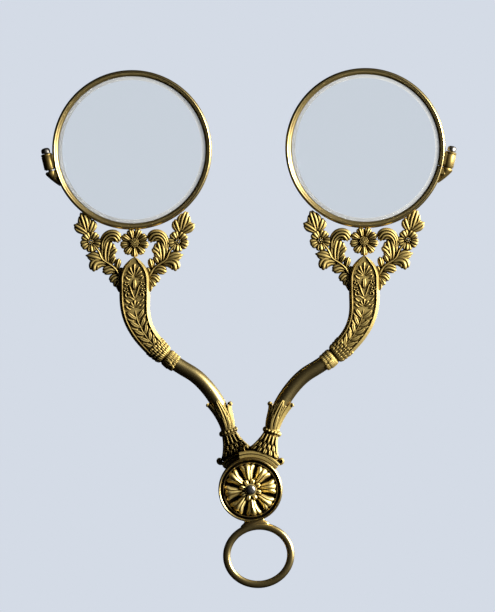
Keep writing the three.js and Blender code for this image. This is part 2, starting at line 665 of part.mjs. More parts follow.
const spectacles = new THREE.Group();
const leftArm = arm("left");
leftArm.rotation.z = Math.PI;
spectacles.add(arm("right"), leftArm, ringGroup());
spectacles.add(
  piece("front_bezel", bezelGeometry()),
  piece("rosette", rosetteGeometry()),
  piece("back_cap", backCapGeometry()),
  piece("front_washer", washer(pinBore, WASHER_RADIUS, -washerNear - WASHER_THICKNESS, -washerNear)),
  piece("back_washer", washer(pinBore, WASHER_RADIUS, washerNear, washerNear + WASHER_THICKNESS)),
  piece("pivot_rivet", rivetGeometry(), new THREE.Color(0x8f8a80)),
);

export default spectacles;
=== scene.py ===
import bpy
import math
import numpy as np
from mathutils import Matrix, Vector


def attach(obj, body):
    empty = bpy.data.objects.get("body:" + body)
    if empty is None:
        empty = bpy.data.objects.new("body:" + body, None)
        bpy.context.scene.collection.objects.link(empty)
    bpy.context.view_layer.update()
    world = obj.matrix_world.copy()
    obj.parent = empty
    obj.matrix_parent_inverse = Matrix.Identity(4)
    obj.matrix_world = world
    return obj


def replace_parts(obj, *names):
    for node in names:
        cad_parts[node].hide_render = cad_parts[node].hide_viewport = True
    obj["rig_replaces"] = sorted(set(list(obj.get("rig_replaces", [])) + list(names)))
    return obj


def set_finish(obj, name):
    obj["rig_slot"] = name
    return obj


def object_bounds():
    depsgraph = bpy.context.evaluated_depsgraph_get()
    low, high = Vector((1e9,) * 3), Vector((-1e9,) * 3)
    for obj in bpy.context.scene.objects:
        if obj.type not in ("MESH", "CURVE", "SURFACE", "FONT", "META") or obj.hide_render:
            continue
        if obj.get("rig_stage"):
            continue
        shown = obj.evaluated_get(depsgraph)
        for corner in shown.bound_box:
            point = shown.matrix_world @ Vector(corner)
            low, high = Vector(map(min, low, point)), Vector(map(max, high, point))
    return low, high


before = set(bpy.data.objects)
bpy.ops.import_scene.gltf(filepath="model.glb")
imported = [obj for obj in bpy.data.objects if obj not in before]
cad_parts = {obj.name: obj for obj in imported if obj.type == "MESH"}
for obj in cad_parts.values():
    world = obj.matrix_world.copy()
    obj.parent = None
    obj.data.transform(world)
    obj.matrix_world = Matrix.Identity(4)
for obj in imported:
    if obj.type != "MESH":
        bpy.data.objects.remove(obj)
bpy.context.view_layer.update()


# Rims. Each lens sits in a hoop of drawn brass wire, half round outside with a narrow lip over the glass.
# The hoop is sawn through on its outer side, where two blocks and a screw draw it shut on the glass.
MM = 0.001
WELD = 0.002
ARM_Y = -2.4
RIM_X, RIM_Z = 31.5, 91.9
RIM_RADIUS, RIM_WIDTH, RIM_DEPTH = 21.6, 1.75, 2.8
SPLIT_ANGLE, SPLIT_WIDTH = 13.7, 0.16


def colour(code):
    """An sRGB hex value as linear red, green, blue and alpha."""
    parts = [int(code[i:i + 2], 16) / 255 for i in (1, 3, 5)]
    linear = [c / 12.92 if c <= 0.04045 else ((c + 0.055) / 1.055) ** 2.4 for c in parts]
    return (*linear, 1.0)


def node(tree, kind, inputs=None, **settings):
    """Adds a shader node with its settings, and fills each named input by a value or by a link."""
    made = tree.nodes.new("ShaderNode" + kind)
    for name, value in settings.items():
        setattr(made, name, value)
    for name, value in (inputs or {}).items():
        if isinstance(value, bpy.types.NodeSocket):
            tree.links.new(value, made.inputs[name])
        else:
            made.inputs[name].default_value = value
    return made


def surface(name):
    """A new material, its node tree, its shader and its Object coordinates."""
    made = bpy.data.materials.new(name)
    made.use_nodes = True
    tree = made.node_tree
    return made, tree, tree.nodes["Principled BSDF"], node(tree, "TexCoord").outputs["Object"]


def brass(name, deep, mid, proud, dull, bright, reach, grain):
    """Brass darkened by painted shade, with some patina, in its recesses, with patches of tarnish 4 mm wide
    and casting pits of 0.25 mm. deep, mid and proud are its colours from the painted-shade recess to the open
    edge, dull and bright the roughness there; reach is the width in millimetres of the recesses that get
    painted shade, grain the strength of the pits."""
    made, tree, shader, place = surface(name)
    # Ambient occlusion says how shut in each point is, and the ramp paints shade from it: the deep colour
    # where shut in.
    occlusion_shade = node(tree, "AmbientOcclusion", {"Distance": reach * MM}, samples=8, only_local=True)
    patches = node(tree, "TexNoise", {"Vector": place, "Scale": 1 / (4 * MM), "Detail": 3.0}).outputs["Fac"]
    pits = node(tree, "TexNoise", {"Vector": place, "Scale": 1 / (0.25 * MM), "Detail": 2.0}).outputs["Fac"]
    shade_and_tarnish = node(tree, "Math", {0: patches, 1: 0.3, 2: -0.15}, operation="MULTIPLY_ADD").outputs[0]
    shade_and_tarnish = node(tree, "Math", {0: occlusion_shade.outputs["AO"], 1: shade_and_tarnish}, operation="ADD").outputs[0]
    ramp = node(tree, "ValToRGB", {"Fac": shade_and_tarnish})
    low, high = ramp.color_ramp.elements
    low.position, low.color = 0.46, colour(deep)
    high.position, high.color = 0.97, colour(proud)
    ramp.color_ramp.elements.new(0.7).color = colour(mid)
    rough = node(tree, "MapRange", {"Value": shade_and_tarnish, "From Min": 0.4, "To Min": dull, "To Max": bright})
    bump = node(tree, "Bump", {"Height": pits, "Strength": grain, "Distance": 0.06 * MM})
    tree.links.new(ramp.outputs["Color"], shader.inputs["Base Color"])
    tree.links.new(rough.outputs["Result"], shader.inputs["Roughness"])
    tree.links.new(bump.outputs["Normal"], shader.inputs["Normal"])
    shader.inputs["Metallic"].default_value = 1.0
    return made


# Worn gilt on the plain parts: brown olive brass, smooth enough for one clear streak of light.
# Matt gilt on the chased parts: pale warm gold on every proud edge, and painted shade near black in the gaps.
# Both are darkened in their recesses by painted shade.
worn_gilt = brass("worn_gilt_brass", "#120c04", "#665026", "#b7a169", 0.43, 0.32, 0.9, 0.3)
matt_gilt = brass("matt_gilt_brass", "#070401", "#543f16", "#a99458", 0.72, 0.6, 1.0, 0.5)


def choose(*pieces):
    """Object mode with only these pieces selected, the first of them active."""
    if bpy.context.object and bpy.context.object.mode != "OBJECT":
        bpy.ops.object.mode_set(mode="OBJECT")
    bpy.ops.object.select_all(action="DESELECT")
    for piece in pieces:
        piece.select_set(True)
    if pieces:
        bpy.context.view_layer.objects.active = pieces[0]


def mend(piece, angle=40):
    """Merges seams and poles, turns all faces outwards and smooths the soft edges."""
    choose(piece)
    bpy.ops.object.mode_set(mode="EDIT")
    bpy.ops.mesh.select_all(action="SELECT")
    bpy.ops.mesh.remove_doubles(threshold=WELD * MM)
    bpy.ops.mesh.delete_loose()
    bpy.ops.mesh.select_all(action="SELECT")
    bpy.ops.mesh.normals_make_consistent(inside=False)
    bpy.ops.object.mode_set(mode="OBJECT")
    bpy.ops.object.shade_smooth_by_angle(angle=math.radians(angle))
    return piece


def spun(name, section, steps, turn=360.0, first=0.0):
    """Spins a closed section of (radius, y) points in millimetres round the Y axis."""
    choose()
    bpy.ops.mesh.primitive_circle_add(vertices=len(section), radius=MM)
    piece = bpy.context.object
    piece.name = name
    angle = math.radians(first)
    for vertex, (radius, y) in zip(piece.data.vertices, section):
        vertex.co = (radius * MM * math.cos(angle), y * MM, -radius * MM * math.sin(angle))
    bpy.ops.object.mode_set(mode="EDIT")
    bpy.ops.mesh.select_all(action="SELECT")
    if turn < 360:
        bpy.ops.mesh.edge_face_add()
    bpy.ops.mesh.spin(steps=steps, angle=math.radians(-turn), center=(0, 0, 0), axis=(0, 1, 0))
    return mend(piece)


def shifted(piece, x=0.0, y=0.0, z=0.0, lean=0.0, tip=0.0):
    """Tips a piece about X, leans it about Y, moves it in millimetres and applies all to its mesh."""
    choose(piece)
    piece.rotation_euler = (math.radians(tip), math.radians(lean), 0)
    piece.location = (x * MM, y * MM, z * MM)
    bpy.ops.object.transform_apply(location=True, rotation=True, scale=True)
    return piece


def joined(name, *pieces):
    """Joins pieces into the first one."""
    choose(*pieces)
    bpy.ops.object.join()
    pieces[0].name = name
    return pieces[0]


def fitted(piece, body, material, slot, *nodes):
    """Gives a piece its material, unless it has one, its body, its slot and the solids it stands for."""
    if not piece.data.materials:
        piece.data.materials.append(material)
    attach(piece, body)
    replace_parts(piece, *nodes)
    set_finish(piece, slot)
    return piece


half = RIM_DEPTH / 2
bead_round = [(RIM_RADIUS - 0.55 * (1 - math.cos(t)), half * math.sin(t)) for t in np.linspace(-2.4, 2.4, 25)]
lip = [(RIM_RADIUS - 1.24, 0.54), (RIM_RADIUS - 1.34, 0.45), (RIM_RADIUS - RIM_WIDTH, 0.42)]
groove = [(RIM_RADIUS - 1.2, 0.3), (RIM_RADIUS - 1.2, -0.3)]
hoop = bead_round + lip + groove + [(r, -y) for r, y in reversed(lip)]
gap = math.degrees(SPLIT_WIDTH / RIM_RADIUS)
# A strip just below the surface closes the cut, as the blocks draw it shut.
seam = [(RIM_RADIUS - inset, y) for inset, y in ((1.15, -1.0), (0.4, -1.0), (0.4, 1.0), (1.15, 1.0))]
rim = joined("right_rim_hoop", spun("hoop", hoop, 180, 360 - gap, SPLIT_ANGLE + gap / 2),
             spun("seam", seam, 4, 2.0, SPLIT_ANGLE - 1.0))
shifted(rim, RIM_X, ARM_Y, RIM_Z)
right_arm = [fitted(rim, "right_arm", worn_gilt, "gilt_brass", "right_rim")]


# Lenses. Round discs of clear glass, a little thicker in the middle than at the shoulder.
# A bevel is ground round each edge, front and back, and its thin rim springs into the hoop's groove.
LENS_RADIUS = 20.3
BEVEL_FROM = 18.85
GLASS_IOR = 1.52


def both_sides(half):
    """A closed section from its back half of (radius, y) points, with the same half turned to the front."""
    return [(radius, -y) for radius, y in half] + half[::-1]


# Clear glass: polished on both faces, so little of it shows but faint reflections.
clear_glass, tree, shader, place = surface("polished_clear_glass")
shader.inputs["Base Color"].default_value = colour("#f6f8f7")
shader.inputs["Transmission Weight"].default_value = 1.0
shader.inputs["IOR"].default_value = GLASS_IOR
shader.inputs["Roughness"].default_value = 0.015

# Ground glass: the bevel as the wheel left it, a soft grey-white frost in clouds of two millimetres.
ground_glass, tree, shader, place = surface("ground_bevel_glass")
frost = node(tree, "TexNoise", {"Vector": place, "Scale": 1 / (2 * MM), "Detail": 2.0}).outputs["Fac"]
tint = node(tree, "ValToRGB", {"Fac": frost})
tint.color_ramp.elements[0].color, tint.color_ramp.elements[1].color = colour("#bbbbb7"), colour("#cecdc8")
rough = node(tree, "MapRange", {"Value": frost, "To Min": 0.28, "To Max": 0.4})
tree.links.new(tint.outputs["Color"], shader.inputs["Base Color"])
tree.links.new(rough.outputs["Result"], shader.inputs["Roughness"])
shader.inputs["Transmission Weight"].default_value = 0.72
shader.inputs["IOR"].default_value = GLASS_IOR

dome = [(BEVEL_FROM * s, 1.1 - 0.35 * s * s) for s in np.linspace(0, 1, 9)]
side = dome + [(LENS_RADIUS, 0.2)]
lens = spun("right_lens_glass", both_sides(side), 120)
lens.data.materials.append(clear_glass)
lens.data.materials.append(ground_glass)
for face in lens.data.polygons:
    face.material_index = int(math.hypot(face.center.x, face.center.z) > BEVEL_FROM * MM)
shifted(lens, RIM_X, ARM_Y, RIM_Z)
right_arm.append(fitted(lens, "right_arm", clear_glass, "lens_glass", "right_lens"))


# Closing blocks. A turned barrel above the saw cut takes the screw's head, and a tapered block below it the
# thread. Both are brass, soldered along the rim's outer side, and the lower one ends in a tail that dies into
# the hoop.
BLOCK_REACH, BARREL_RADIUS, TAIL_LENGTH = 22.8, 1.5, 4.7

# Browned gilt: thin gilding handled down to brown brass, still gold where the light strikes it, with painted
# shade in its recesses.
brown_gilt = brass("browned_gilt_brass", "#070401", "#3a2c14", "#7d6a3c", 0.6, 0.5, 1.0, 0.5)


def around(count):
    """Angles evenly spaced over a full turn."""
    return np.linspace(0, 2 * math.pi, count + 1)[:-1]


def skin(name, rings, angle=40):
    """A closed skin over rings of points in millimetres, each ring with as many points."""
    rings = np.asarray(rings, float)
    rows, sides = rings.shape[:2]
    choose()
    bpy.ops.mesh.primitive_grid_add(x_subdivisions=sides, y_subdivisions=rows - 1, size=MM)
    piece = bpy.context.object
    piece.name = name
    wrapped = np.concatenate([rings, rings[:, :1]], axis=1) * MM
    piece.data.vertices.foreach_set("co", wrapped.reshape(-1))
    bpy.ops.object.mode_set(mode="EDIT")
    bpy.ops.mesh.select_all(action="SELECT")
    bpy.ops.mesh.remove_doubles(threshold=WELD * MM)
    bpy.ops.mesh.fill_holes(sides=0)
    return mend(piece, angle)


def on_rim(piece):
    """Lays a piece made upright round the Z axis against the rim's outer side, at the saw cut."""
    shifted(piece, BLOCK_REACH)
    shifted(piece, lean=SPLIT_ANGLE)
    return shifted(piece, RIM_X, ARM_Y, RIM_Z)


def saddle(low, high):
    """The solder between a block and the rim."""
    choose()
    bpy.ops.mesh.primitive_cube_add(size=1, location=(-1.0 * MM, 0, (low + high) / 2 * MM),
                                    scale=(1.5 * MM, 2.5 * MM, (high - low) * MM))
    bpy.ops.object.transform_apply(location=True, rotation=True, scale=True)
    bpy.ops.object.mode_set(mode="EDIT")
    bpy.ops.mesh.bevel(offset=0.25 * MM, segments=2)
    bpy.ops.object.mode_set(mode="OBJECT")
    return bpy.context.object


turning = [(0, -0.1), (1.2, -0.1), (1.2, 0.12), (1.44, 0.12), (BARREL_RADIUS, 0.2), (BARREL_RADIUS, 3.55),
           (1.42, 3.65), (1.42, 3.78), (BARREL_RADIUS, 3.88), (BARREL_RADIUS, 4.15), (1.3, 4.38), (0, 4.38)]
barrel = shifted(spun("barrel", turning, 40), tip=90)
upper = joined("right_upper_barrel", barrel, saddle(0.4, 3.9))
right_arm.append(fitted(on_rim(upper), "right_arm", brown_gilt, "gilt_brass", "right_upper_block"))

tail = []
for share in np.linspace(0, 1, 15):
    turn = (0.12 + TAIL_LENGTH * share) / BLOCK_REACH
    size = BARREL_RADIUS * (1 - 0.82 * max(0.0, (share - 0.12) / 0.88))
    size -= 0.14 * max(0.0, 1 - share / 0.06)
    reach = BLOCK_REACH - BARREL_RADIUS + size
    x, z = reach * math.cos(turn) - BLOCK_REACH, -reach * math.sin(turn)
    tail.append([(x + size * math.cos(t) * math.cos(turn), size * math.sin(t),
                  z - size * math.cos(t) * math.sin(turn)) for t in around(32)])
lower = joined("right_lower_tail", skin("tail", tail), saddle(-2.2, -0.4))
right_arm.append(fitted(on_rim(lower), "right_arm", brown_gilt, "gilt_brass", "right_lower_block"))


# Rim screws. A steel screw runs down each barrel across the saw cut. Its domed head stands on the barrel's
# top and is slotted with a file.
# Old forged steel: dark grey and dull, with small flats about half a millimetre wide.
old_steel, tree, shader, place = surface("old_forged_steel")
flats = node(tree, "TexVoronoi", {"Vector": place, "Scale": 1 / (0.55 * MM)}).outputs["Distance"]
cloud = node(tree, "TexNoise", {"Vector": place, "Scale": 1 / (1.2 * MM), "Detail": 4.0}).outputs["Fac"]
tone = node(tree, "ValToRGB", {"Fac": cloud})
tone.color_ramp.elements[0].position, tone.color_ramp.elements[0].color = 0.3, colour("#332f29")
tone.color_ramp.elements[1].position, tone.color_ramp.elements[1].color = 0.7, colour("#827e76")
dents = node(tree, "Bump", {"Height": flats, "Strength": 0.5, "Distance": 0.12 * MM})
tree.links.new(tone.outputs["Color"], shader.inputs["Base Color"])
tree.links.new(dents.outputs["Normal"], shader.inputs["Normal"])
shader.inputs["Metallic"].default_value = 1.0
shader.inputs["Roughness"].default_value = 0.42

head = [(0, -2.2), (0.52, -2.2), (0.52, 4.5), (1.02, 4.5), (1.18, 4.62), (1.22, 5.2), (1.1, 5.62),
        (0.72, 5.9), (0, 6.0)]
screw = shifted(spun("right_closing_screw", head, 32), tip=90)
choose()
bpy.ops.mesh.primitive_cube_add(size=1, location=(0, 0, 5.95 * MM), scale=(3 * MM, 0.32 * MM, 0.7 * MM))
file_cut = bpy.context.object
choose(screw)
cut = screw.modifiers.new("slot", "BOOLEAN")
cut.operation, cut.solver, cut.object = "DIFFERENCE", "EXACT", file_cut
bpy.ops.object.modifier_apply(modifier="slot")
bpy.data.objects.remove(file_cut)
right_arm.append(fitted(on_rim(mend(screw)), "right_arm", old_steel, "steel", "right_rim_screw"))


# Daisies. One nine-petalled flower hangs under each rim, on the point of the panel's arch.
# It is cast brass, its broad petals fluted and scalloped and its middle chased into seeds.
STEM_X = 31.0
DAISY_Z = 66.75
# Each seed is turned by the golden angle, in radians, from the one before.
SEED_TURN = 2.39996


def smooth(values, share):
    """A smooth run through evenly spaced values, taken at shares of the way from 0 to 1."""
    values = np.asarray(values, float).reshape(len(values), -1)
    run = np.vstack([2 * values[0] - values[1], values, 2 * values[-1] - values[-2]])
    place = np.clip(share, 0, 1) * (len(values) - 1)
    first = np.minimum(place.astype(int), len(values) - 2)
    part = (place - first)[:, None]
    a, b, c, d = (run[first + i] for i in range(4))
    return b + part * ((c - a) + part * ((2 * a - 5 * b + 4 * c - d) + part * (3 * b - a - 3 * c + d))) / 2


def leaf(lay, widths, swell, folds=2, crease=0.45, tip=0.35, point=2.0, scallop=0.06, plump=2.0, rows=16):
    """A leaf or petal whose folds run lengthwise and end in scallops; point 1 is a sharp tip, 2 a round one.
    lay(share, across, height) puts its points in place, widths and swell run from root to tip."""
    choose()
    bpy.ops.mesh.primitive_grid_add(x_subdivisions=max(10, 6 * folds), y_subdivisions=rows, size=2)
    blank = bpy.context.object
    flat = np.empty(3 * len(blank.data.vertices))
    blank.data.vertices.foreach_get("co", flat)
    across, along = np.sin(flat[0::3] * np.pi / 2), (flat[1::3] + 1) / 2
    side = np.abs(across)
    ridge = np.abs(np.sin(folds * np.pi * (across + 1) / 2)) ** 0.6
    nose = 1 - (1 - side ** point) ** (1 / point)
    share = along * (1 - tip * nose) - scallop * (1 - ridge) * along ** 4
    ends = np.sqrt(np.clip(1 - np.abs(2 * along - 1) ** 8, 0, 1))
    height = smooth(swell, share)[:, 0] * np.sqrt(1 - side ** plump) * ends * (1 - crease * (1 - ridge))
    points = lay(share, across * smooth(widths, share)[:, 0], height)
    blank.data.vertices.foreach_set("co", (points * MM).reshape(-1))
    return blank


def on_spine(places, bed=0.0):
    """Lays a leaf along a curve through (x, z) places in the arm's middle plane."""
    def lay(share, across, height):
        middle = smooth(places, share)
        ahead = smooth(places, share + 0.02) - smooth(places, share - 0.02)
        ahead /= np.linalg.norm(ahead, axis=1)[:, None]
        x = middle[:, 0] - ahead[:, 1] * across
        z = middle[:, 1] + ahead[:, 0] * across
        return np.column_stack([x, -bed - height, z])
    return lay


def bead(x, z, size, rise, bed=0.0):
    """A low round bead, seen from the front at x and z."""
    choose()
    rings = 6 if size < 0.3 else 12
    bpy.ops.mesh.primitive_uv_sphere_add(segments=2 * rings, ring_count=rings, radius=size * MM,
                                         location=(x * MM, -bed * MM, z * MM))
    bpy.context.object.scale.y = rise / size
    bpy.ops.object.transform_apply(location=True, rotation=True, scale=True)
    bpy.ops.object.shade_smooth()
    return bpy.context.object


def petals(x, z, count, inner, outer, widths, swell, first=0.0, bed=0.0, **shape):
    """A ring of like petals about x and z."""
    made = []
    for i in range(count):
        angle = math.radians(first) + 2 * math.pi * i / count
        way = np.array([math.sin(angle), math.cos(angle)])
        lay = on_spine([np.array([x, z]) + way * inner, np.array([x, z]) + way * outer], bed)
        made.append(leaf(lay, widths, swell, **shape))
    return made


def backed(piece, weld=0.0):
    """Repeats a front half at the back, and welds the halves where they are that near, in millimetres."""
    choose(piece)
    mirror = piece.modifiers.new("back", "MIRROR")
    mirror.use_axis = (False, True, False)
    mirror.use_mirror_merge = weld > 0
    mirror.merge_threshold = weld * MM
    bpy.ops.object.modifier_apply(modifier="back")
    return mend(piece, 60)


def both_faces(piece):
    """Closes a half model on the middle plane and moves it to the arm's layer."""
    return shifted(backed(piece, WELD), y=ARM_Y)


parts = petals(STEM_X, DAISY_Z, 9, 0.8, 3.95, [0.4, 0.75, 1.12, 1.15], [0.55, 0.85, 1.05, 0.95], first=20,
               folds=3, crease=0.4, tip=0.34)
parts.append(bead(STEM_X, DAISY_Z, 1.4, 1.1))
for i in range(40):
    reach, angle = 0.2 * math.sqrt(i), i * SEED_TURN
    parts.append(bead(STEM_X + reach * math.sin(angle), DAISY_Z + reach * math.cos(angle), 0.15, 0.2,
                      1.1 - 0.2 * reach ** 2))
daisy = both_faces(joined("right_daisy_head", *parts))
right_arm.append(fitted(daisy, "right_arm", matt_gilt, "gilt_brass", "right_daisy"))


# Sprays. Two pierced sprays of flower and acanthus fill the corners between the rim and the panel.
# Each is cast in one with its branch and soldered to both; the leaves are chased on the front and the back.
def spray(name, hand):
    """One spray, its places given across from the panel's middle line and up from the pivot."""
    def at(*places):
        return on_spine([(STEM_X + hand * x, z) for x, z in places])

    branch = [
        leaf(at((3.8, 57.1), (5.0, 59.5), (6.6, 60.9), (8.6, 62.3), (9.7, 64.6), (11.8, 67.1)),
             [0.45, 0.46, 0.45, 0.42, 0.38, 0.3], [1.0, 1.05, 1.05, 1.0, 0.9, 0.8],
             folds=1, tip=0.03, scallop=0, rows=30),
    ]
    scroll = [
        leaf(at((7.3, 60.7), (7.5, 63.2), (7.2, 65.5), (6.6, 67.5)),
             [0.9, 1.75, 2.2, 1.8], [0.6, 0.85, 0.9, 0.8], folds=4, crease=0.55, tip=0.3, rows=24),
        leaf(at((8.5, 64.2), (8.3, 66.9), (7.0, 68.5), (5.2, 68.5), (4.0, 66.9)),
             [0.6, 1.2, 1.6, 1.75, 1.5], [0.8, 1.1, 1.4, 1.5, 1.2],
             folds=4, crease=0.42, tip=0.3, scallop=0.04, rows=30),
    ]
    beside_panel = [
        leaf(at((7.2, 63.4), (6.0, 64.5), (4.8, 65.4)), [0.6, 1.05, 1.05], [0.6, 1.05, 1.1],
             crease=0.4, tip=0.4),
        leaf(at((7.2, 62.0), (6.3, 63.1), (5.4, 64.1)), [0.5, 0.85, 0.85], [0.6, 1.0, 1.0],
             crease=0.4, tip=0.4),
        leaf(at((6.5, 60.8), (5.9, 62.0), (5.2, 63.1)), [0.45, 0.75, 0.75], [0.6, 1.0, 0.95], tip=0.4),
        leaf(at((4.9, 59.4), (4.6, 61.0), (4.1, 62.6)), [0.55, 0.95, 0.85], [0.6, 1.0, 0.95],
             folds=3, tip=0.4),
        leaf(at((4.2, 57.8), (3.9, 59.0), (3.4, 60.2)), [0.45, 0.65, 0.55], [0.6, 0.9, 0.85], tip=0.4),
    ]
    under_branch = [
        leaf(at((8.2, 62.1), (10.7, 62.9), (13.3, 63.5)), [0.8, 1.55, 1.1], [0.7, 1.1, 0.8],
             folds=3, crease=0.32, tip=0.42, point=1.4),
        leaf(at((7.2, 61.1), (9.2, 61.5), (10.7, 60.9), (11.1, 59.0)),
             [0.9, 1.45, 1.75, 1.7], [0.7, 1.0, 1.3, 1.2], folds=3, crease=0.38, tip=0.42, rows=24),
        leaf(at((4.8, 59.0), (6.6, 59.6), (8.7, 58.8)), [0.8, 1.4, 1.35], [0.7, 1.05, 1.1],
             folds=3, crease=0.4, tip=0.4),
        leaf(at((4.0, 57.6), (5.4, 57.3), (6.6, 56.1)), [0.8, 1.25, 1.2], [0.7, 1.05, 1.0],
             folds=3, crease=0.4, tip=0.4),
        leaf(at((4.0, 57.0), (4.9, 55.9), (5.4, 54.8)), [0.6, 0.85, 0.8], [0.7, 0.9, 0.85], tip=0.4),
        leaf(at((3.9, 57.0), (4.4, 55.2), (4.2, 53.2)), [0.5, 0.65, 0.35], [0.7, 0.8, 0.6], point=1.2),
    ]
    over_flower = [
        leaf(at((12.6, 69.4), (13.3, 72.4), (14.3, 75.3)), [0.9, 2.0, 1.7], [0.7, 1.1, 0.85],
             folds=4, tip=0.45, point=1.5),
        leaf(at((12.6, 69.4), (14.5, 70.7), (16.4, 71.8)), [0.8, 1.45, 1.3], [0.7, 1.05, 0.9],
             folds=3, tip=0.42, point=1.6),
        leaf(at((12.3, 69.4), (11.6, 71.2), (11.0, 73.1)), [0.7, 1.45, 1.4], [0.7, 1.0, 0.85],
             folds=3, tip=0.4, point=1.6),
    ]
    bloom_x, bloom_z = STEM_X + hand * 11.8, 67.1
    flower = petals(bloom_x, bloom_z, 5, 0.4, 2.95, [0.5, 1.05, 1.45, 1.5], [0.35, 0.8, 0.95, 0.85],
                    first=hand * -30, folds=3, crease=0.42, tip=0.36, scallop=0.05)
    flower.append(bead(bloom_x, bloom_z, 0.4, 0.95))
    flower += [bead(bloom_x + 0.62 * math.sin(t), bloom_z + 0.62 * math.cos(t), 0.17, 0.3, 0.7)
               for t in around(7)]
    return both_faces(joined(name, *branch, *scroll, *beside_panel, *under_branch, *over_flower, *flower))


for side, hand in (("inner", -1), ("outer", 1)):
    piece = spray(f"right_{side}_foliage", hand)
    right_arm.append(fitted(piece, "right_arm", matt_gilt, "gilt_brass", f"right_{side}_spray"))


# Panels. The upper half of each arm is a cast brass bar with a pointed arch on top, sweeping inwards as it
# narrows to its collar. A sharp fillet frames a sunk field, chased on both faces with palmettes, flowers,
# coils and pairs of leaves on a running stem.
FIELD_FLOOR, PANEL_FACE = 1.36, 1.72
ARCH_HEIGHT, TAPER_FROM, PANEL_HALF = 6.2, 10.17, 4.15

# The arm's middle line: straight down the panel, swept in an S, then straight into the foot.
sweep = []
for knots in (((31.0, 62.95), (31.0, 59.2), (31.0, 55.4), (31.0, 51.65)),
              ((31.0, 51.65), (31.0, 46.14), (29.74, 39.52), (16.37, 31.81)),
              ((16.37, 31.81), (10.21, 28.25), (5.72, 18.58), (6.08, 16.09)),
              ((6.08, 16.09), (6.17, 15.43), (6.27, 14.77), (6.36, 14.11))):
    a, b, c, d = np.array(knots)
    t = np.linspace(0, 1, 200)[:, None]
    sweep.append(a * (1 - t) ** 3 + 3 * b * t * (1 - t) ** 2 + 3 * c * t * t * (1 - t) + d * t ** 3)
sweep = np.vstack(sweep)
travel = np.concatenate([[0], np.cumsum(np.linalg.norm(np.diff(sweep, axis=0), axis=1))])
# Distances along the middle line, from the panel's tip.
COLLAR_AT, PANEL_END, ROD_START, SHEATH_START, NECK_AT = 29.73, 26.13, 33.33, 49.09, 56.69


def stem(distance):
    """The arm's middle line, from the panel's tip to the neck: places, and the ways across it."""
    distance = np.asarray(distance, float)

    def spot(d):
        return np.column_stack([np.interp(d, travel, sweep[:, i]) for i in (0, 1)])
    ahead = spot(distance + 0.15) - spot(distance - 0.15)
    ahead /= np.linalg.norm(ahead, axis=1)[:, None]
    return spot(distance), np.column_stack([-ahead[:, 1], ahead[:, 0]])


def panel_half(distance):
    """Half the panel's width: a pointed arch, then a slow taper."""
    arch = min(distance / ARCH_HEIGHT, 1)
    taper = min(max((distance - TAPER_FROM) / (PANEL_END - TAPER_FROM), 0), 1)
    full = PANEL_HALF - 1.2 * taper * taper * (3 - 2 * taper)
    return full * math.sqrt(1 - (1 - arch) ** 2) ** 1.6


flank = [(0.0, 0.0), (0.02, 0.15), (0.2, 0.54), (0.38, 0.92), (0.56, 1.3), (0.7, 1.6)]
fillet = [(0.74, 1.69), (0.79, PANEL_FACE), (0.84, 1.71), (0.88, 1.66), (1.08, FIELD_FLOOR)]
rings = []
for share in np.linspace(0, 1, 64):
    distance = 0.03 + (PANEL_END - 0.03) * share * (0.35 + 0.65 * share)
    wide = max(panel_half(distance), 0.03)
    small = min(1.0, wide / 2.2)
    front = [(wide - inset * small, y) for inset, y in flank]
    front += [(wide - inset * small, PANEL_FACE + (y - PANEL_FACE) * small) for inset, y in fillet]
    front += [(front[-1][0] * s, front[-1][1]) for s in (0.66, 0.33, 0, -0.33, -0.66)]
    front += [(-w, y) for w, y in front[10::-1]]
    loop = front + [(w, -y) for w, y in front[-2:0:-1]]
    middle, across = stem([distance])
    rings.append([(middle[0, 0] + w * across[0, 0], -y, middle[0, 1] + w * across[0, 1]) for w, y in loop])
body = skin("panel", rings, 30)


def on_stem(places, bed):
    """Lays a leaf along a curve through (across, distance) places on the panel's face."""
    def lay(share, across, height):
        middle = smooth(places, share)
        ahead = smooth(places, share + 0.02) - smooth(places, share - 0.02)
        ahead /= np.linalg.norm(ahead, axis=1)[:, None]
        spot, way = stem(middle[:, 1] + ahead[:, 0] * across)
        flat = spot + way * (middle[:, 0] - ahead[:, 1] * across)[:, None]
        return np.column_stack([flat[:, 0], -bed - height, flat[:, 1]])
    return lay


def husk(*places, widths=(0.2, 0.5, 0.35), swell=0.45, folds=1, rows=10, **shape):
    """A small leaf of the panel's chasing."""
    return leaf(on_stem(places, FIELD_FLOOR - 0.04), widths, [swell * 0.6, swell, swell * 0.85],
                folds=folds, rows=rows, **shape)


def palmette(root, rays):
    """A fan of narrow rays on the panel's middle line, each (angle, length)."""
    for angle, size in rays:
        way = (math.sin(math.radians(angle)), -math.cos(math.radians(angle)))
        relief.append(husk(*[(way[0] * r, root + way[1] * r) for r in (0.3, size * 0.6, size)],
                           widths=(0.14, 0.26, 0.42), swell=0.36, tip=0.16, scallop=0))


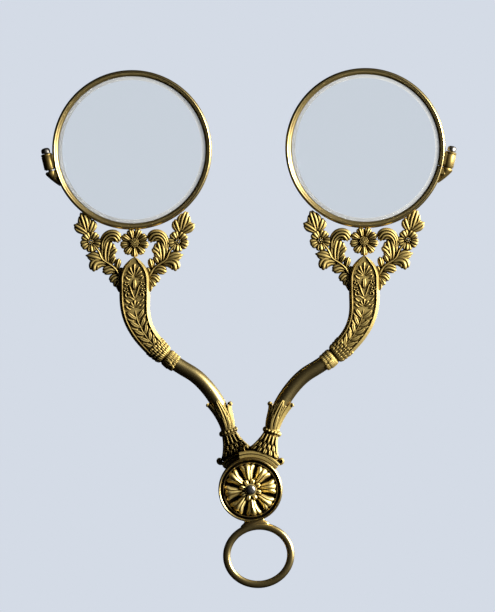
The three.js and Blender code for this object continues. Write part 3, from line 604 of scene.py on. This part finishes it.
relief = []
palmette(5.6, [(0, 3.9), (-24, 3.3), (24, 3.3), (-48, 2.7), (48, 2.7), (-76, 2.3), (76, 2.3)])
palmette(13.9, [(0, 2.3), (-32, 2.1), (32, 2.1), (-62, 1.9), (62, 1.9)])
relief.append(husk((0, 6.0), (0, 7.5), (0, 9.3), widths=(0.3, 0.6, 0.45), folds=2, point=1.3, tip=0.5))
for hand in (-1, 1):
    relief.append(husk((0, 11.4), (hand * 0.75, 9.6), (hand * 1.2, 8.2), (hand * 1.6, 7.6),
                       widths=(0.22, 0.24, 0.2), swell=0.36))
    coil = [(hand * (1.85 + r * math.cos(t)), 10.2 + r * math.sin(t))
            for r, t in zip(np.linspace(0.85, 0.15, 8), np.linspace(2.2, -4.6, 8))]
    relief.append(husk((0, 11.8), *coil, widths=(0.26, 0.26, 0.2), swell=0.4, rows=30, tip=0.02, scallop=0))
    for x, distance in ((2.15, 7.3), (2.35, 9.0)):
        for i in range(5):
            angle = 2 * math.pi * i / 5
            relief.append(husk((hand * x + 0.14 * math.sin(angle), distance + 0.14 * math.cos(angle)),
                               (hand * x + 0.72 * math.sin(angle), distance + 0.72 * math.cos(angle)),
                               widths=(0.16, 0.3, 0.3), swell=0.4, rows=8, tip=0.4))
    for reach, distance in ((2.5, 5.4), (2.6, 11.6), (2.55, 13.2)):
        relief.append(husk((hand * 1.2, distance + 0.9), (hand * 2.0, distance + 0.5),
                           (hand * reach, distance - 0.4), widths=(0.2, 0.36, 0.26), swell=0.36, point=1.3))
relief.append(husk((0, 26.0), (0, 20.0), (0, 14.4), widths=(0.17, 0.17, 0.14), swell=0.34, rows=30,
                   tip=0.02, scallop=0))
for distance in (16.2, 18.5, 20.8, 23.0, 25.1):
    wide = panel_half(distance - 1.2) - 1.2
    for hand in (-1, 1):
        relief.append(husk((0, distance + 0.7), (hand * wide * 0.5, distance - 0.4),
                           (hand * wide * 0.9, distance - 2.0), widths=(0.3, 0.62, 0.4), swell=0.44,
                           folds=2, crease=0.35, rows=14, tip=0.45, point=1.4))
        relief.append(husk((hand * wide * 0.35, distance + 0.95), (hand * wide * 0.7, distance + 0.6),
                           (hand * wide * 1.05, distance - 0.3), widths=(0.16, 0.36, 0.26), swell=0.36,
                           tip=0.45))
relief = backed(joined("relief", *relief))
panel = shifted(joined("right_relief_panel", body, relief), y=ARM_Y)
right_arm.append(fitted(panel, "right_arm", matt_gilt, "gilt_brass", "right_panel"))


# Collars. Two bands of overlapping leaves, four rows above a narrow groove and three below it, hide the joint
# of the flat panel and the round rod. The bands are cast in brass, chased and soldered on.
COLLAR_LEAVES = 14


def around_stem(first, last, turn, radius, flare=0.0, curl=0.0):
    """Lays a leaf along the stem, bent round it: radius(distance) gives how far it stands out, across and
    deep. A flare lifts its end, and a curl rolls its last fifth outwards, with that radius."""
    def lay(share, across, height):
        straight = 0.8 if curl else 1.0
        rise = np.clip(share / straight, 0, 1)
        roll = np.clip(share - straight, 0, 1) / 0.2 * 5.0
        distance = first + (last - first) * rise + math.copysign(curl, last - first) * np.sin(roll)
        spot, way = stem(distance)
        wide, deep = radius(distance)
        angle = turn + across / wide
        lift = height * np.cos(roll) + flare * rise ** 7 + curl * (1 - np.cos(roll))
        flat = spot + way * ((wide + lift) * np.cos(angle))[:, None]
        return np.column_stack([flat[:, 0], -(deep + lift) * np.sin(angle), flat[:, 1]])
    return lay


def tube(name, distances, radius, sides=40):
    """A round or oval skin along the stem."""
    rings = []
    for distance in distances:
        wide, deep = radius(distance)
        spot, way = stem([distance])
        rings.append([(spot[0, 0] + way[0, 0] * wide * math.cos(t), -deep * math.sin(t),
                       spot[0, 1] + way[0, 1] * wide * math.cos(t)) for t in around(sides)])
    return skin(name, rings)


def thick(piece, wall):
    """Gives thin leaves their thickness, inwards."""
    choose(piece)
    sheet = piece.modifiers.new("wall", "SOLIDIFY")
    sheet.thickness, sheet.offset = wall * MM, -1
    bpy.ops.object.modifier_apply(modifier="wall")
    bpy.ops.object.shade_smooth_by_angle(angle=math.radians(60))
    return piece


def collar_radius(distance):
    """The collar's core, as wide as the panel above, round below and waisted at the groove."""
    distance = np.asarray(distance, float)
    fall = np.clip((distance - PANEL_END) / (ROD_START - PANEL_END), 0, 1)
    waist = 0.26 * np.exp(-((distance - COLLAR_AT) / 0.3) ** 2)
    return 2.76 - 0.78 * fall - waist, 1.8 + 0.18 * fall - waist


core = tube("core", np.linspace(PANEL_END - 0.1, ROD_START + 0.1, 50), collar_radius)
leaves = []
for way, lift, rows in ((-1, 1.0, ((0.12, 1.7), (1.0, 2.75), (2.0, 3.8), (3.0, 4.5))),
                        (1, 0.65, ((0.12, 1.6), (0.95, 2.6), (1.9, 3.6)))):
    for row, (first, last) in enumerate(rows):
        for i in range(COLLAR_LEAVES):
            turn = 2 * math.pi * (i + row / 2) / COLLAR_LEAVES
            lay = around_stem(COLLAR_AT + first * way, COLLAR_AT + last * way, turn, collar_radius)
            swell = [0.1 * lift, 0.26 * lift, 0.42 * lift, 0.3 * lift]
            leaves.append(leaf(lay, [0.45, 0.62, 0.6, 0.4], swell, crease=0.6, rows=12, tip=0.45, point=1.6,
                               plump=2.4))
leaves = thick(mend(joined("leaves", *leaves)), 0.2)
collar = shifted(joined("right_leaf_collar", core, leaves), y=ARM_Y)
right_arm.append(fitted(collar, "right_arm", matt_gilt, "gilt_brass", "right_collar"))


# Rods. A plain round brass bar swept in an S from the collar to the foot, burnished smooth.
# It is drawn down where the sheath of leaves grips it.
ROD_RADIUS, SHEATH_LENGTH = 2.0, 7.6


def rod_radius(distance):
    """The rod's radius, across and deep, at a distance along the stem."""
    gripped = np.clip((np.asarray(distance) - SHEATH_START) / SHEATH_LENGTH, 0, 1)
    size = ROD_RADIUS * (1 - 0.4 * gripped * gripped * (3 - 2 * gripped))
    return size, size


rod = shifted(tube("right_round_rod", np.linspace(ROD_START, NECK_AT - 0.3, 60), rod_radius, 48), y=ARM_Y)
right_arm.append(fitted(rod, "right_arm", worn_gilt, "gilt_brass", "right_rod"))


# Sheaths. A cup of acanthus leaves clasps the rod's lower end, its side leaves curled right out at the tip.
# It is cast in brass, chased with long veins, and closed below by the knop on the foot.
SHEATH_FOOT = 57.2


def sheath_radius(distance):
    """The sheath's radius, across and deep, narrowing towards its foot."""
    size = ROD_RADIUS - 0.72 * np.clip((np.asarray(distance) - SHEATH_START) / SHEATH_LENGTH, 0, 1)
    return size + 0.03, np.minimum(size + 0.03, ROD_RADIUS)


def up_sheath(turn, high, *ending):
    """Lays a leaf from the sheath's foot up the rod, at a turn in degrees, its end flared and curled."""
    return around_stem(SHEATH_FOOT, high, math.radians(turn), sheath_radius, *ending)


leaves = []
for turn, high, flare, curl in ((0, 48.0, 0.3, 0.5), (180, 50.6, 0.6, 0.55)):
    leaves.append(leaf(up_sheath(turn, high, flare, curl), [0.8, 1.15, 1.2, 1.1], [0.2, 0.3, 0.35, 0.3],
                       folds=3, crease=0.6, rows=120, tip=0.1))
for turn, high, wide in ((90, 47.9, 1.3), (270, 47.9, 1.3), (48, 48.9, 1.0), (132, 49.4, 1.0),
                         (228, 49.4, 1.0), (312, 48.9, 1.0)):
    leaves.append(leaf(up_sheath(turn, high), [0.6, wide, wide * 0.95, wide * 0.7], [0.3, 0.5, 0.45, 0.2],
                       folds=4, crease=0.7, rows=36, tip=0.3, point=1.5, scallop=0.03))
for turn in (24, 69, 111, 156, 204, 249, 291, 336):
    leaves.append(leaf(up_sheath(turn, 52.4), [0.4, 0.5, 0.42], [0.3, 0.55, 0.5], folds=1, scallop=0))
sheath = shifted(thick(mend(joined("right_acanthus_sheath", *leaves), 60), 0.4), y=ARM_Y)
right_arm.append(fitted(sheath, "right_arm", matt_gilt, "gilt_brass", "right_sheath"))


# Feet. A knop set with pearls, then a bell of upright leaves that spreads on to a collar of two fillets round
# the hub, all cast in brass. The leaf ends at both sides roll into small scrolls, and a flat hinge plate
# carries the rivet's hole.
FOOT_ANGLE = 20.7
BELL_TOP, BELL_LOW = 17.5, 9.7
KNOP_Z, PEARLS = 16.65, 14
SCROLL_REACH, SCROLL_ANGLE, SCROLL_WELD = 11.4, math.radians(27), 1.0
RIVET_HOLE = 1.26


def bell_half(height):
    """The bell's half width and half depth at a height above the pivot."""
    u = np.clip((BELL_TOP - np.asarray(height, float)) / (BELL_TOP - BELL_LOW), 0, 1)
    wide = 1.95 + 2.5 * u * u * (1.6 - 0.6 * u) + 0.8 * u ** 8
    return wide, np.minimum(wide, 1.55)


def on_bell(side, low, high):
    """Lays a leaf up the bell's face, at a share of its half width."""
    def lay(share, across, height):
        q = low + (high - low) * share
        wide, deep = bell_half(q)
        f = np.clip(side + across / wide, -1, 1)
        y = deep * np.sqrt(1 - f * f) + height
        return np.column_stack([f * wide, -y, q])
    return lay


rings = []
for q in np.linspace(BELL_TOP, BELL_LOW, 30):
    wide, deep = bell_half(q)
    rings.append([(wide * math.cos(t), -deep * math.sin(t), q) for t in around(40)])
bell = skin("bell", rings)
rings = []
for share in np.linspace(0, 1, 13):
    size = 1.5 + 0.45 * math.sin(math.pi * share) ** 0.6
    rings.append([(size * math.cos(t), -0.86 * size * math.sin(t), 17.7 - 2.0 * share) for t in around(40)])
knop = [skin("knop", rings, 60)]
for i in range(PEARLS):
    turn = 2 * math.pi * (i + 0.5) / PEARLS
    knop.append(bead(1.98 * math.cos(turn), KNOP_Z, 0.46, 0.46, 1.7 * math.sin(turn)))
knop += [bead(hand * 1.85, KNOP_Z, 0.8, 0.8) for hand in (-1, 1)]
leaves = []
for side in (-0.82, -0.41, 0.0, 0.41, 0.82):
    leaves.append(leaf(on_bell(side, 15.9, 13.0), [0.2, 0.32, 0.42, 0.36], [0.3, 0.55, 0.75, 0.6],
                       folds=1, tip=0.3, scallop=0))
for side in (-0.94, 0.94):
    leaves.append(leaf(on_bell(side, 14.4, 10.6), [0.25, 0.5, 0.62, 0.6], [0.3, 0.6, 0.8, 0.6], folds=1))
for side in (-0.62, -0.21, 0.21, 0.62):
    leaves.append(leaf(on_bell(side, 13.5, 11.5), [0.35, 0.58, 0.62], [0.3, 0.7, 0.75],
                       crease=0.4, rows=12, tip=0.42))
for side in (-0.78, -0.39, 0.0, 0.39, 0.78):
    leaves.append(leaf(on_bell(side, 12.3, 10.2), [0.4, 0.66, 0.7], [0.3, 0.65, 0.7],
                       crease=0.4, rows=12, tip=0.42))
leaves = backed(joined("leaves", *leaves))
lower_fillet = [(8.75, 1.75), (8.85, 1.92), (9.45, 1.95), (9.6, 1.8), (9.66, 1.6)]
upper_fillet = [(9.6, 1.5), (9.66, 1.75), (9.8, 1.88), (10.25, 1.88), (10.45, 1.7), (10.5, 1.4)]
fillets = [spun("lower", both_sides(lower_fillet), 46, 69, -129),
           spun("upper", both_sides(upper_fillet), 46, 66.6, -127.8)]
curls = []
for hand in (-1, 1):
    x, z = hand * SCROLL_REACH * math.sin(SCROLL_ANGLE), SCROLL_REACH * math.cos(SCROLL_ANGLE)
    places = [(x + hand * r * math.cos(t) - hand * 0.3, z + r * math.sin(t))
              for r, t in zip(np.linspace(0.95, 0.06, 9), np.linspace(-2.2, 4.6, 9))]
    curls.append(bead(x - hand * 0.3, z, 0.6, 0.9))
    curls.append(leaf(on_spine(places), [0.5, 0.42, 0.36, 0.3, 0.22], [1.3, 1.4, 1.45, 1.5, 1.4],
                      folds=1, rows=40, tip=0.02, scallop=0))
curls = backed(joined("curls", *curls), SCROLL_WELD)
outline = [(RIVET_HOLE, -0.05), (8.35, -0.05), (8.45, 0.05), (8.45, 1.45), (8.35, 1.55), (RIVET_HOLE, 1.55)]
plate = spun("plate", outline, 96)
web = spun("web", [(8.3, -0.05), (9.2, -0.05), (9.2, 1.55), (8.3, 1.55)], 30, 58, -119)
foot = joined("right_bell_foot", bell, *knop, leaves, *fillets, curls, plate, web)
foot = shifted(foot, y=ARM_Y, lean=FOOT_ANGLE)
right_arm.append(fitted(foot, "right_arm", matt_gilt, "gilt_brass", "right_foot"))


# Left arm. The same castings turned back to front, so the left arm lies in the layer behind the right one.
# Its screw stands slack: the blocks are turned a little away from each other round the rim and stand apart.
slack = {"left_upper_barrel": -0.5, "left_closing_screw": -0.5, "left_lower_tail": 0.5}
for piece in list(right_arm):
    choose(piece)
    bpy.ops.object.duplicate()
    twin = bpy.context.object
    twin.name = piece.name.replace("right_", "left_")
    twin.parent = None
    del twin["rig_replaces"]
    if twin.name in slack:
        shifted(shifted(shifted(twin, -RIM_X, -ARM_Y, -RIM_Z), lean=slack[twin.name]), RIM_X, ARM_Y, RIM_Z)
    bpy.ops.transform.rotate(value=math.pi, orient_axis="Z", center_override=(0, 0, 0))
    bpy.ops.object.transform_apply(location=True, rotation=True, scale=True)
    nodes = [name.replace("right_", "left_") for name in piece["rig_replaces"]]
    fitted(twin, "left_arm", None, piece["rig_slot"], *nodes)


# Hub. A turned brass cap with a rounded rim and an inner fillet fronts the pivot, and a plain flat cap with a
# stepped edge backs it. Thin brass washers part the turning leaves between them.
HUB_RADIUS = 8.65
bezel = [(RIVET_HOLE, -2.5), (8.5, -2.5), (HUB_RADIUS, -2.65), (HUB_RADIUS, -4.2), (8.6, -4.48),
         (8.46, -4.7), (8.3, -4.78), (8.14, -4.72), (8.02, -4.52), (7.98, -3.85), (7.5, -3.85), (7.46, -4.35),
         (7.36, -4.48), (7.22, -4.48), (7.12, -4.35), (7.08, -3.6), (RIVET_HOLE, -3.6)]
piece = spun("front_turned_bezel", bezel, 128)
fitted(piece, "hub", worn_gilt, "gilt_brass", "front_bezel")
cap = [(RIVET_HOLE, 2.5), (8.5, 2.5), (HUB_RADIUS, 2.65), (HUB_RADIUS, 3.95), (8.55, 4.2), (8.3, 4.42),
       (8.15, 4.5), (8.05, 4.48), (7.95, 4.6), (7.6, 4.78), (7.4, 4.8), (2.2, 4.8), (1.3, 3.95),
       (RIVET_HOLE, 3.9)]
piece = spun("back_turned_cap", cap, 128)
fitted(piece, "hub", worn_gilt, "gilt_brass", "back_cap")
for name, low in (("front", -0.8), ("back", 0.55)):
    sheet = [(RIVET_HOLE, low), (6.0, low), (6.0, low + 0.25), (RIVET_HOLE, low + 0.25)]
    piece = spun(f"{name}_thin_washer", sheet, 96)
    fitted(piece, "hub", worn_gilt, "gilt_brass", f"{name}_washer")


# Rosette. Eight broad petals with fluted, scalloped ends lie in the bezel, under eight small ones and a
# collet. It is struck in brass and held by the rivet's head.
# Rubbed gilt: bright warm gold, where hands have polished it, with painted shade in its recesses.
# The ground under the petals is painted nearly black: painted shade between the petals.
rubbed_gilt = brass("rubbed_gilt_brass", "#1c1205", "#9a7f3e", "#e0ca84", 0.62, 0.54, 0.7, 0.4)
painted_shade_ground = brass("painted_shade_ground_brass", "#040200", "#171005", "#2e220f", 0.75, 0.65, 1.0, 0.6)
parts = petals(0, 0, 8, 1.5, 7.05, [0.8, 1.15, 1.65, 2.95], [0.9, 1.6, 1.9, 1.3], first=-8, bed=3.62,
               folds=3, crease=0.28, tip=0.2, scallop=0.08, plump=1.7, rows=30)
parts += petals(0, 0, 8, 0.9, 3.1, [0.4, 0.78, 0.82], [0.6, 1.35, 1.2], first=14.5, bed=4.1,
                crease=0.3, tip=0.4, scallop=0.03)
rosette = thick(mend(joined("hub_rosette", *parts), 60), 0.25)
rosette.data.materials.append(rubbed_gilt)
# The ground disc takes the nearly black brass, painted shade in the gaps between the petals.
ground = spun("ground", [(RIVET_HOLE, -3.61), (7.05, -3.61), (7.05, -3.7), (RIVET_HOLE, -3.75)], 64)
ground.data.materials.append(painted_shade_ground)
ferrule = [(1.2, -3.65), (1.75, -3.65), (1.75, -5.0), (1.62, -5.18), (1.4, -5.2), (1.2, -5.1)]
collet = spun("collet", ferrule, 48)
collet.data.materials.append(rubbed_gilt)
rosette = joined("hub_rosette", rosette, ground, collet)
fitted(rosette, "hub", None, "gilt_brass", "rosette")


# Rivet. A soft steel pin through the whole stack, which holds arms, washers, tang and caps together.
# It is hammered to a low dome in front and flush behind.
dome = [(1.38 * math.sin(t), -5.22 - 0.72 * math.cos(t)) for t in np.linspace(0, math.pi / 2, 9)]
pin = dome + [(1.2, -5.22), (1.2, 3.85), (2.0, 4.68), (1.9, 4.7), (0, 4.72)]
rivet = spun("hammered_rivet", pin, 48)
fitted(rivet, "hub", old_steel, "steel", "pivot_rivet")


# Hanging ring. An oval loop of brass wire, a little flat on its faces, for a ribbon or a finger.
# Its tang is a thin tongue that spreads to take the wire, and the rivet pins it between the arms. The ring
# hangs a little aside.
RING_TILT, RING_DROP = -6.8, 17.95
RING_ACROSS, RING_HIGH, WIRE_DEEP, WIRE_FLAT = 8.66, 7.86, 0.9, 2.6
rings = []
for t in around(128):
    ring = []
    for s in around(24):
        cross, deep = math.cos(s), math.sin(s)
        reach = 1.0 / (abs(cross) ** WIRE_FLAT + abs(deep) ** WIRE_FLAT) ** (1 / WIRE_FLAT)
        ring.append(((RING_ACROSS + reach * cross) * math.sin(t), WIRE_DEEP * reach * deep,
                     (RING_HIGH + reach * cross) * math.cos(t) - RING_DROP))
    rings.append(ring)
loop = shifted(skin("hanging_loop", rings + rings[:1]), lean=RING_TILT)
fitted(loop, "ring", worn_gilt, "gilt_brass", "hanging_ring")

eye = spun("eye", both_sides([(RIVET_HOLE, 0.5), (7.6, 0.5), (7.65, 0.45)]), 96)
corner = [(math.copysign(abs(math.cos(t)) ** 0.35, math.cos(t)),
           math.copysign(abs(math.sin(t)) ** 0.6, math.sin(t))) for t in around(32)]
rings = []
for z, wide, deep in ((-4.5, 2.7, 0.5), (-7.6, 2.7, 0.5), (-8.4, 2.7, 0.5), (-8.8, 2.9, 0.6),
                      (-9.1, 3.3, 0.72), (-9.5, 3.8, 0.8), (-10.1, 4.0, 0.72)):
    rings.append([(wide * c, deep * s, z) for c, s in corner])
tang = shifted(joined("hinged_tang", eye, skin("tongue", rings)), lean=RING_TILT)
fitted(tang, "ring", worn_gilt, "gilt_brass", "ring_tang")


# Studio. A floor below the ring fades into a pale backdrop. A soft key light stands to the right, with a
# weaker one further back. Six dark flags round the object give the metal its depth, and only reflections see
# them. Flags and lights are placed and sized in metres.
FLOOR_Z = -60
choose()
bpy.ops.mesh.primitive_circle_add(vertices=96, radius=0.2, fill_type="TRIFAN", location=(0, 0, FLOOR_Z * MM))
bpy.ops.object.transform_apply(location=True, rotation=True, scale=True)
floor = bpy.context.object
floor.name = "floor"
# Paper: matt and grey, fading out before its edge, so that the floor shows no rim.
paper, tree, shader, place = surface("pale_paper")
shader.inputs["Base Color"].default_value = colour("#80868e")
shader.inputs["Roughness"].default_value = 0.9
reach = node(tree, "VectorMath", {0: place}, operation="LENGTH").outputs["Value"]
fade = node(tree, "MapRange", {"Value": reach, "From Min": 0.08, "From Max": 0.17},
            interpolation_type="SMOOTHSTEP").outputs["Result"]
clear = node(tree, "BsdfTransparent").outputs["BSDF"]
blend = node(tree, "MixShader", {0: fade, 1: shader.outputs["BSDF"], 2: clear})
tree.links.new(blend.outputs["Shader"], tree.nodes["Material Output"].inputs["Surface"])
floor.data.materials.append(paper)
floor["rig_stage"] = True

# Black velvet: without any shine, so the metal that mirrors it goes dark.
velvet, tree, shader, place = surface("black_velvet")
shader.inputs["Base Color"].default_value = colour("#0c0b0a")
shader.inputs["Specular IOR Level"].default_value = 0.0
for name, spot, turn, size in (("left_flag", (-0.30, -0.05, 0.06), (0, math.pi / 2, 0), (0.9, 1.1)),
                               ("front_flag", (-0.05, -0.45, 0.05), (math.pi / 2, 0, 0), (0.6, 0.9)),
                               ("top_flag", (-0.02, -0.05, 0.38), (0, 0, 0), (0.6, 1.0)),
                               ("low_flag", (0.0, -0.05, -0.058), (0, 0, 0), (0.6, 1.0)),
                               ("back_flag", (0.0, 0.35, 0.1), (math.pi / 2, 0, 0), (0.7, 0.9)),
                               ("right_flag", (0.3, 0.25, 0.1), (0, math.pi / 2, 0), (0.9, 0.5))):
    choose()
    bpy.ops.mesh.primitive_plane_add(size=1, location=spot, rotation=turn)
    flag = bpy.context.object
    flag.name = name
    flag.scale = (*size, 1)
    flag.data.materials.append(velvet)
    flag.visible_camera = flag.visible_diffuse = flag.visible_shadow = flag.visible_transmission = False
    flag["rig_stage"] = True

world = bpy.data.worlds.new("pale_room")
bpy.context.scene.world = world
world.use_nodes = True
tree = world.node_tree
path = node(tree, "LightPath").outputs
seen = node(tree, "Math", {0: path["Is Camera Ray"], 1: path["Is Glossy Ray"]}, operation="MAXIMUM")
seen = node(tree, "Math", {0: seen.outputs[0], 1: path["Is Transmission Ray"]}, operation="MAXIMUM")
room = node(tree, "Background", {"Color": colour("#ffffff"), "Strength": 0.55})
backdrop = node(tree, "Background", {"Color": colour("#d4dbe6"), "Strength": 1.0})
either = node(tree, "MixShader", {0: seen.outputs[0], 1: room.outputs[0], 2: backdrop.outputs[0]})
tree.links.new(either.outputs[0], tree.nodes["World Output"].inputs["Surface"])

for name, spot, power, size in (("key", (0.5, -0.2, 0.2), 14.0, 0.2),
                                ("back_light", (0.5, 0.3, 0.15), 8.0, 0.25)):
    choose()
    bpy.ops.object.light_add(type="AREA", location=spot)
    lamp = bpy.context.object
    lamp.name = name
    lamp.data.energy, lamp.data.size = power, size
    aim = np.array([0, 0, 0.05]) - np.array(spot)
    lean = math.atan2(math.hypot(aim[0], aim[1]), -aim[2])
    lamp.rotation_euler = (lean, 0, math.atan2(aim[0], -aim[1]) + math.pi)

bpy.ops.object.camera_add(location=(-0.51 * MM, -1.6524, 49.5 * MM),
                          rotation=(math.pi / 2, math.radians(0.33), 0))
camera = bpy.context.object
camera.data.lens = 360
camera.data.sensor_width = 36
bpy.context.scene.camera = camera
bpy.context.scene.view_settings.view_transform = "Standard"

low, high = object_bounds()
